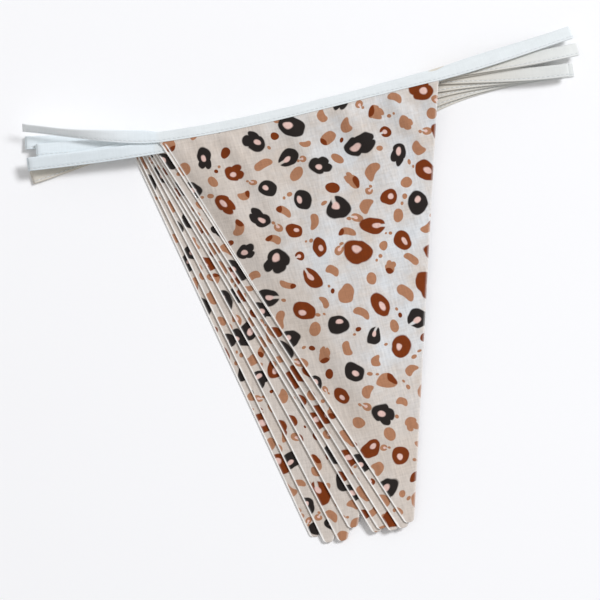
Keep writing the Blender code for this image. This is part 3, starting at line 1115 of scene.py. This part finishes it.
def half_round(before, after):
    """The half round in which the tape folds back from one stretch onto the next."""
    centre = (before.middle + after.middle) / 2.0
    radius = np.linalg.norm(before.middle - after.middle) / 2.0
    up = unit(before.middle - after.middle)
    side = 1.0 if np.dot(up, before.outward) > 0.0 else -1.0
    outward = side * up
    forward = unit(np.cross(before.across, outward))
    turned = []
    for angle in np.linspace(0.0, math.pi, TURN_SECTIONS + 2)[1:-1]:
        swing = math.cos(angle) * outward + math.sin(angle) * forward
        place = centre + radius * (side * math.cos(angle) * outward + math.sin(angle) * forward)
        across = unit(before.across * (math.pi - angle) + after.across * angle)
        turned.append(before._replace(middle=place, across=across, outward=swing))
    return turned


def stretch_sections(number, layer, travelled):
    """The sections of one layer's stretch of tape, in the order in which the tape runs."""
    grip = eased(np.where(layer.free < GRIPS_TO, 1.0, 0.0), GRIP_EASE)
    thick, slot, depth = (low + grip * (high - low) for low, high in zip(EMPTY, HOLDING))
    open_edge, folded_edge = tape_edges(number, thick)
    middle = (open_edge + folded_edge) / 2.0
    across = unit(folded_edge - open_edge)
    width = np.linalg.norm(folded_edge - open_edge, axis=1)
    # Painted light: the free end is painted brighter the more it twists, since its twisted face
    # turns from the light.
    fresh = layer.twist / math.radians(TAIL_TWIST)
    order = slice(None, None, -1 if number % 2 else 1)
    forward = np.gradient(middle[order], axis=0)[order]
    outward = unit(np.cross(unit(forward), across))
    run = travelled + np.abs(layer.run - layer.run[order][0])
    columns = (middle, across, outward, width, thick, slot, depth, stack_shades(number, layer), fresh, run)
    return [Section(*row) for row in zip(*(column[order] for column in columns))]


sections = []
for number, layer in enumerate(layers):
    stretch = stretch_sections(number, layer, sections[-1].run if sections else 0.0)
    if sections:
        sections += half_round(sections[-1], stretch[0])
    sections += stretch
print("tape length in mm:", round(sections[-1].run), "sections:", len(sections))

# %% [markdown]
# ## Making the tape
#
# A grid rolled up lengthwise makes the tube of cloth: each row of the grid is one section.
# The stitches pull a soft trough into both faces, and the tape is a little uneven.
# The outline goes once round the cloth: along the slot, over the lip of the turned-in edge,
# across the upper leaf to the fold, and back the same way below.

# %% Making the tape
TROUGH_AT = 1.5  # from the open edge to the stitches
TROUGH = 0.24
UNEVEN = 0.12  # how far the tape lifts, eased over so many sections
UNEVEN_OVER = 9

# The upper leaf from its open edge to the fold: across in mm from the open edge, or back from
# the folded edge, and how deep below the flat face
LEAF = ((0.0, 0.28), (0.12, 0.1), (0.5, 0.02), (1.0, 0.06), (TROUGH_AT, TROUGH), (2.0, 0.06),
        (2.8, 0.0), (4.0, 0.0))
BACK = ((2.6, 0.0), (1.4, 0.02), (0.7, 0.08), (0.3, 0.2), (0.08, 0.38))
BACK_DEEPEST = 0.8  # as a share of half the thickness
BACK_WALL = 1.2  # the least cloth between the slot and the fold
SLOT_ROUND = 0.2
LIP_ROUND = 0.1
MAP_STEP = 0.8  # how far apart the corners of a section lie on the cloth's map
WELD = 1e-7

BINDING_COOL = hex_colour("E5EDF0")
BINDING_SHADES = {
    # painted shade on the stretches that lie low in the stack
    "tone": hex_colour("DAD4C8"),  # warm stretches
    # painted highlight on the twisted free end, whose face turns away from the light
    "fresh": hex_colour("FCFFFF"),  # the free end that nothing has lain on
    # painted shade along the stitches' trough
    "trough": hex_colour("A9B3B8"),
}
TROUGH_SHADE = 0.4


def section_profile(section):
    """One section's outline as distances across and out, from the slot over the upper leaf."""
    half = section.width / 2.0
    face = section.thick / 2.0
    lip = section.slot / 2.0
    leaf = [(-half + across, face - deep) for across, deep in LEAF]
    leaf += [(half - back, face - min(deep, face * BACK_DEEPEST)) for back, deep in BACK]
    inner = min(section.depth, section.width - BACK_WALL) - half
    mouth = [(-half + LIP_ROUND, lip), (-half, (face - LEAF[0][1] + lip) / 2.0)]
    ring = [(inner, 0.0), (inner - SLOT_ROUND, lip)] + mouth + leaf + [(half, 0.0)]
    return ring + [(across, -normal) for across, normal in ring[-2:0:-1]]


def section_ring(section, uneven):
    """The closed outline of one section in its place."""
    middle = section.middle + uneven * section.outward
    return [middle + a * section.across + n * section.outward for a, n in section_profile(section)]


def white_binding():
    """Bleached cotton: cool white, with painted shade low in the stack and in the trough, and a
    painted highlight on the free end.
    """
    made, tree, shader = new_material("bleached_cotton_binding")
    place = add(tree, "UVMap", uv_map="strip")
    place = add(tree, "VectorMath", {0: place, "Scale": 1.0 / MM}, operation="SCALE")
    colour = BINDING_COOL
    for name, ink in BINDING_SHADES.items():
        mask = add(tree, "Attribute", [], "Fac", attribute_name=name)
        colour = paint(tree, colour, mask, ink)
    cotton_surface(tree, shader, colour, weave(tree, place), strength=0.06, depth=0.14)
    return made


def make_tape():
    noise = np.random.default_rng(7)
    rough = noise.normal(size=len(sections))
    uneven = np.maximum(0.0, eased(rough, UNEVEN_OVER) * UNEVEN)
    rings = [section_ring(section, lift) for section, lift in zip(sections, uneven)]
    around = len(rings[0]) + 1
    from_open = np.array(section_profile(sections[0]))[:, 0] + sections[0].width / 2.0
    # Painted shade along the stitches' trough, at the corners of the section that lie in it.
    in_trough = np.isclose(from_open, TROUGH_AT) * TROUGH_SHADE
    bm = grid(len(rings), around)
    uv = bm.loops.layers.uv.new("strip")
    tone, fresh, trough = (bm.verts.layers.float.new(name) for name in BINDING_SHADES)
    spots = {}
    for vert in bm.verts:
        row, column = place_in(vert, len(rings), around)
        corner = column % len(rings[row])
        vert.co = rings[row][corner] * MM
        vert[tone] = sections[row].tone
        vert[fresh] = sections[row].fresh
        vert[trough] = in_trough[corner]
        spots[vert] = (column * MAP_STEP, sections[row].run)
    write_map(bm, uv, spots)
    bmesh.ops.remove_doubles(bm, verts=bm.verts, dist=WELD)
    ends = [edge for edge in bm.edges if edge.is_boundary]
    bmesh.ops.holes_fill(bm, edges=ends)
    bmesh.ops.recalc_face_normals(bm, faces=bm.faces)
    return add_piece("folded_binding", bm, white_binding())


tape = make_tape()
print("triangles in the tape:", sum(len(face.vertices) - 2 for face in tape.data.polygons))

# %% [markdown]
# ## The row of stitches
#
# One row of lockstitch holds the tape shut and the pennants in it. It shows on both faces, as
# short threads end to end in the trough. A stitch is a small stretched ball of thread, and
# about two thousand of them are copies of one mesh, set along the tape and joined into one
# piece.

# %% The stitches
STITCH_PITCH = 3.4
STITCH_SIZE = (2.5, 0.55, 0.44)
THREAD_SINK = 0.05  # how far a stitch's underside lies below the trough
LOOK_AHEAD = 0.8  # the stretch over which a stitch finds the way of the tape
THREAD_TWIST = 1.2  # from one ply to the next


def stitch_ball():
    """One stitch's points and faces, around its own middle."""
    ball = bmesh.new()
    bmesh.ops.create_uvsphere(ball, u_segments=6, v_segments=4, radius=0.5)
    bmesh.ops.rotate(ball, verts=ball.verts, cent=(0.0, 0.0, 0.0),
                     matrix=Matrix.Rotation(math.radians(90.0), 3, "Y"))
    bmesh.ops.scale(ball, verts=ball.verts, vec=STITCH_SIZE)
    ball.verts.index_update()
    points = np.array([vert.co for vert in ball.verts])
    faces = [[vert.index for vert in face.verts] for face in ball.faces]
    ball.free()
    return points, faces


def stitch_frames(side):
    """Each stitch's middle, and its three directions as rows, on one face of the tape."""
    height = STITCH_SIZE[2] / 2.0 - THREAD_SINK - TROUGH
    line = np.array([section.middle + (TROUGH_AT - section.width / 2.0) * section.across
                     + side * (section.thick / 2.0 + height) * section.outward
                     for section in sections])
    outward = np.array([section.outward for section in sections])
    run = run_along(line)
    at = np.arange(STITCH_PITCH, run[-1] - STITCH_PITCH, STITCH_PITCH)
    middles = read_along(at, run, line)
    out = side * unit(read_along(at, run, outward))
    along = unit(read_along(at + LOOK_AHEAD, run, line) - middles)
    beside = unit(np.cross(out, along))
    return middles, np.stack([along, beside, np.cross(along, beside)], axis=1)


def spun_thread():
    """Polyester thread: smoother than the cotton, with the twist of its plies."""
    made, tree, shader = new_material("spun_polyester_thread")
    place = add(tree, "TexCoord", [], "Object")
    twist = add(tree, "TexWave", {"Vector": place, "Scale": 1.0 / (THREAD_TWIST * MM)},
                "Fac", bands_direction="DIAGONAL")
    colour = paint(tree, hex_colour("ECEEED"), twist, hex_colour("DCE0E0"))
    tree.links.new(colour, shader.inputs["Base Color"])
    shader.inputs["Roughness"].default_value = 0.6
    return made


def make_stitches():
    ball, faces = stitch_ball()
    points, polygons = [], []
    for side in (1.0, -1.0):
        for middle, directions in zip(*stitch_frames(side)):
            first = len(points) * len(ball)
            points.append(middle + ball @ directions)
            polygons += [[first + corner for corner in face] for face in faces]
    mesh = bpy.data.meshes.new("topstitching")
    mesh.from_pydata(np.concatenate(points) * MM, [], polygons)
    mesh.materials.append(spun_thread())
    mesh.shade_smooth()
    pieces.append(add_object("topstitching", mesh))
    print("stitches:", len(points), "triangles in each:", sum(len(face) - 2 for face in faces))
    return pieces[-1]


stitches = make_stitches()

# %% [markdown]
# ## Into the frame
#
# So far every point is measured from the top pennant's left corner, as the plan is. The
# frame's origin is under the middle of the folded bunting, on the surface. One shift for
# all the pieces takes them there, because the middle of their common box is the same point.

# %% Into the frame
everything = np.concatenate([[vert.co for vert in piece.data.vertices] for piece in pieces])
low, high = everything.min(axis=0), everything.max(axis=0)
shift = np.array([-(low[0] + high[0]) / 2.0, -(low[1] + high[1]) / 2.0, -low[2]])
for piece in pieces:
    for vert in piece.data.vertices:
        vert.co = np.array(vert.co) + shift
print("shift to the frame, in mm:", np.round(shift / MM, 2))
camera.location = (shift[0] + VIEW_CENTRE[0] * MM, shift[1] + VIEW_CENTRE[1] * MM,
                   CAMERA_HEIGHT * MM)

# %% [markdown]
# ## The floor
#
# A plain pale surface, matt and nearly white, so that the soft shadow around the stack shows
# that it lies on something.

# %% The floor
FLOOR_SIZE = 6.0
FLOOR_DROP = 0.0002  # so that it doesn't meet the cloth that lies on it


def make_floor():
    bm = bmesh.new()
    bmesh.ops.create_grid(bm, x_segments=8, y_segments=8, size=FLOOR_SIZE / 2.0)
    mesh = bpy.data.meshes.new("floor")
    bm.to_mesh(mesh)
    bm.free()
    made, tree, shader = new_material("matt_white_paper")
    shader.inputs["Roughness"].default_value = 0.95
    place = add(tree, "TexCoord", [], "Object")
    tint = add(tree, "TexNoise", {"Vector": place, "Scale": 3.0})
    colour = paint(tree, hex_colour("FCFCFC"), tint, hex_colour("FEFEFE"))
    tree.links.new(colour, shader.inputs["Base Color"])
    mesh.materials.append(made)
    floor = add_object("floor", mesh)
    floor.location = (0.0, 0.0, -FLOOR_DROP)


make_floor()

# %% [markdown]
# ## What each piece is
#
# Each pennant stands for its own solid, which is hidden. The tape stands for the tape's solid,
# and the stitches hang from the same root as every piece.

for number, pennant in enumerate(pennants):
    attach(pennant, "root")
    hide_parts(f"flag_{number + 1}")
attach(tape, "root")
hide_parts("binding_tape")
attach(stitches, "root")
